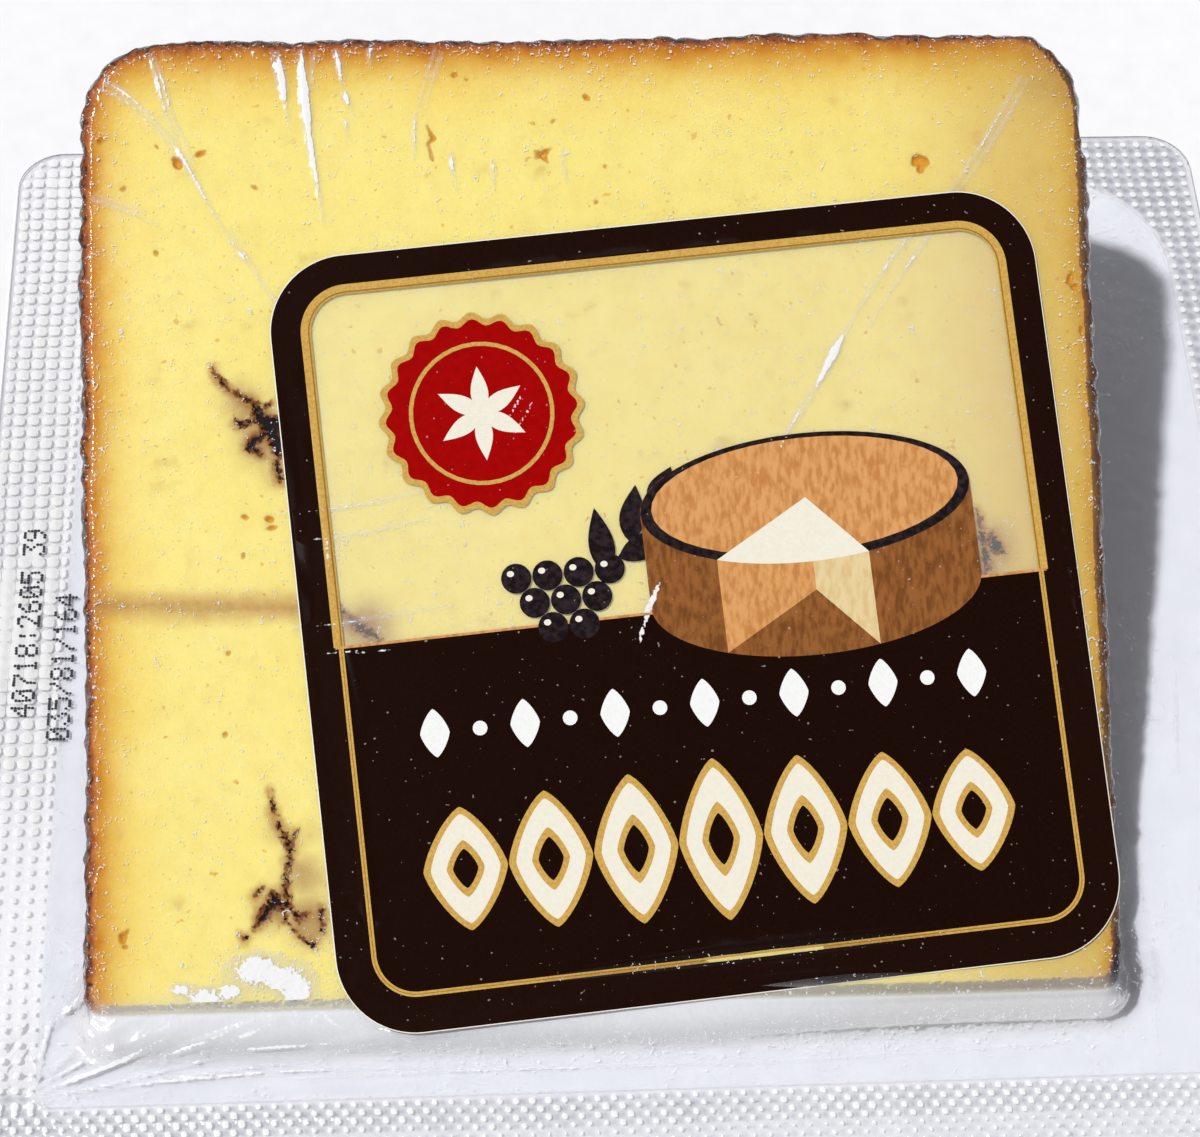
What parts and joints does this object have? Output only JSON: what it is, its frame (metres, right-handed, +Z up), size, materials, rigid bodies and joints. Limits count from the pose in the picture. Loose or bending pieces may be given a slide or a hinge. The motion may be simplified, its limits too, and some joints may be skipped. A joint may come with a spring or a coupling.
{
  "type": "cheese wedge in a clear vacuum pack",
  "caption": "Wedge of pressed cheese lying on one cut face in a skin-tight clear film pack with a flat embossed edge and a square label.",
  "frame": {"origin": "on the ground, in the middle of the pack's box", "axes": "+X across the wedge from its left rind to its right, +Y from the thin edge to the rim rind, +Z up out of the ground"},
  "size_m": [0.1338, 0.1234, 0.0434],
  "materials": {
    "cheese": "pale yellow pressed cheese with a brown rind, black marbling and small openings",
    "clear_film": "clear glossy film, embossed in small squares along its sealed edge",
    "label_print": "smooth self-adhesive film label printed dark brown, see-through cream and gold"
  },
  "bodies": {
    "root": {"cheese_wedge": "cheese", "film_pouch": "clear_film", "label": "label_print"}
  },
  "joints": []
}
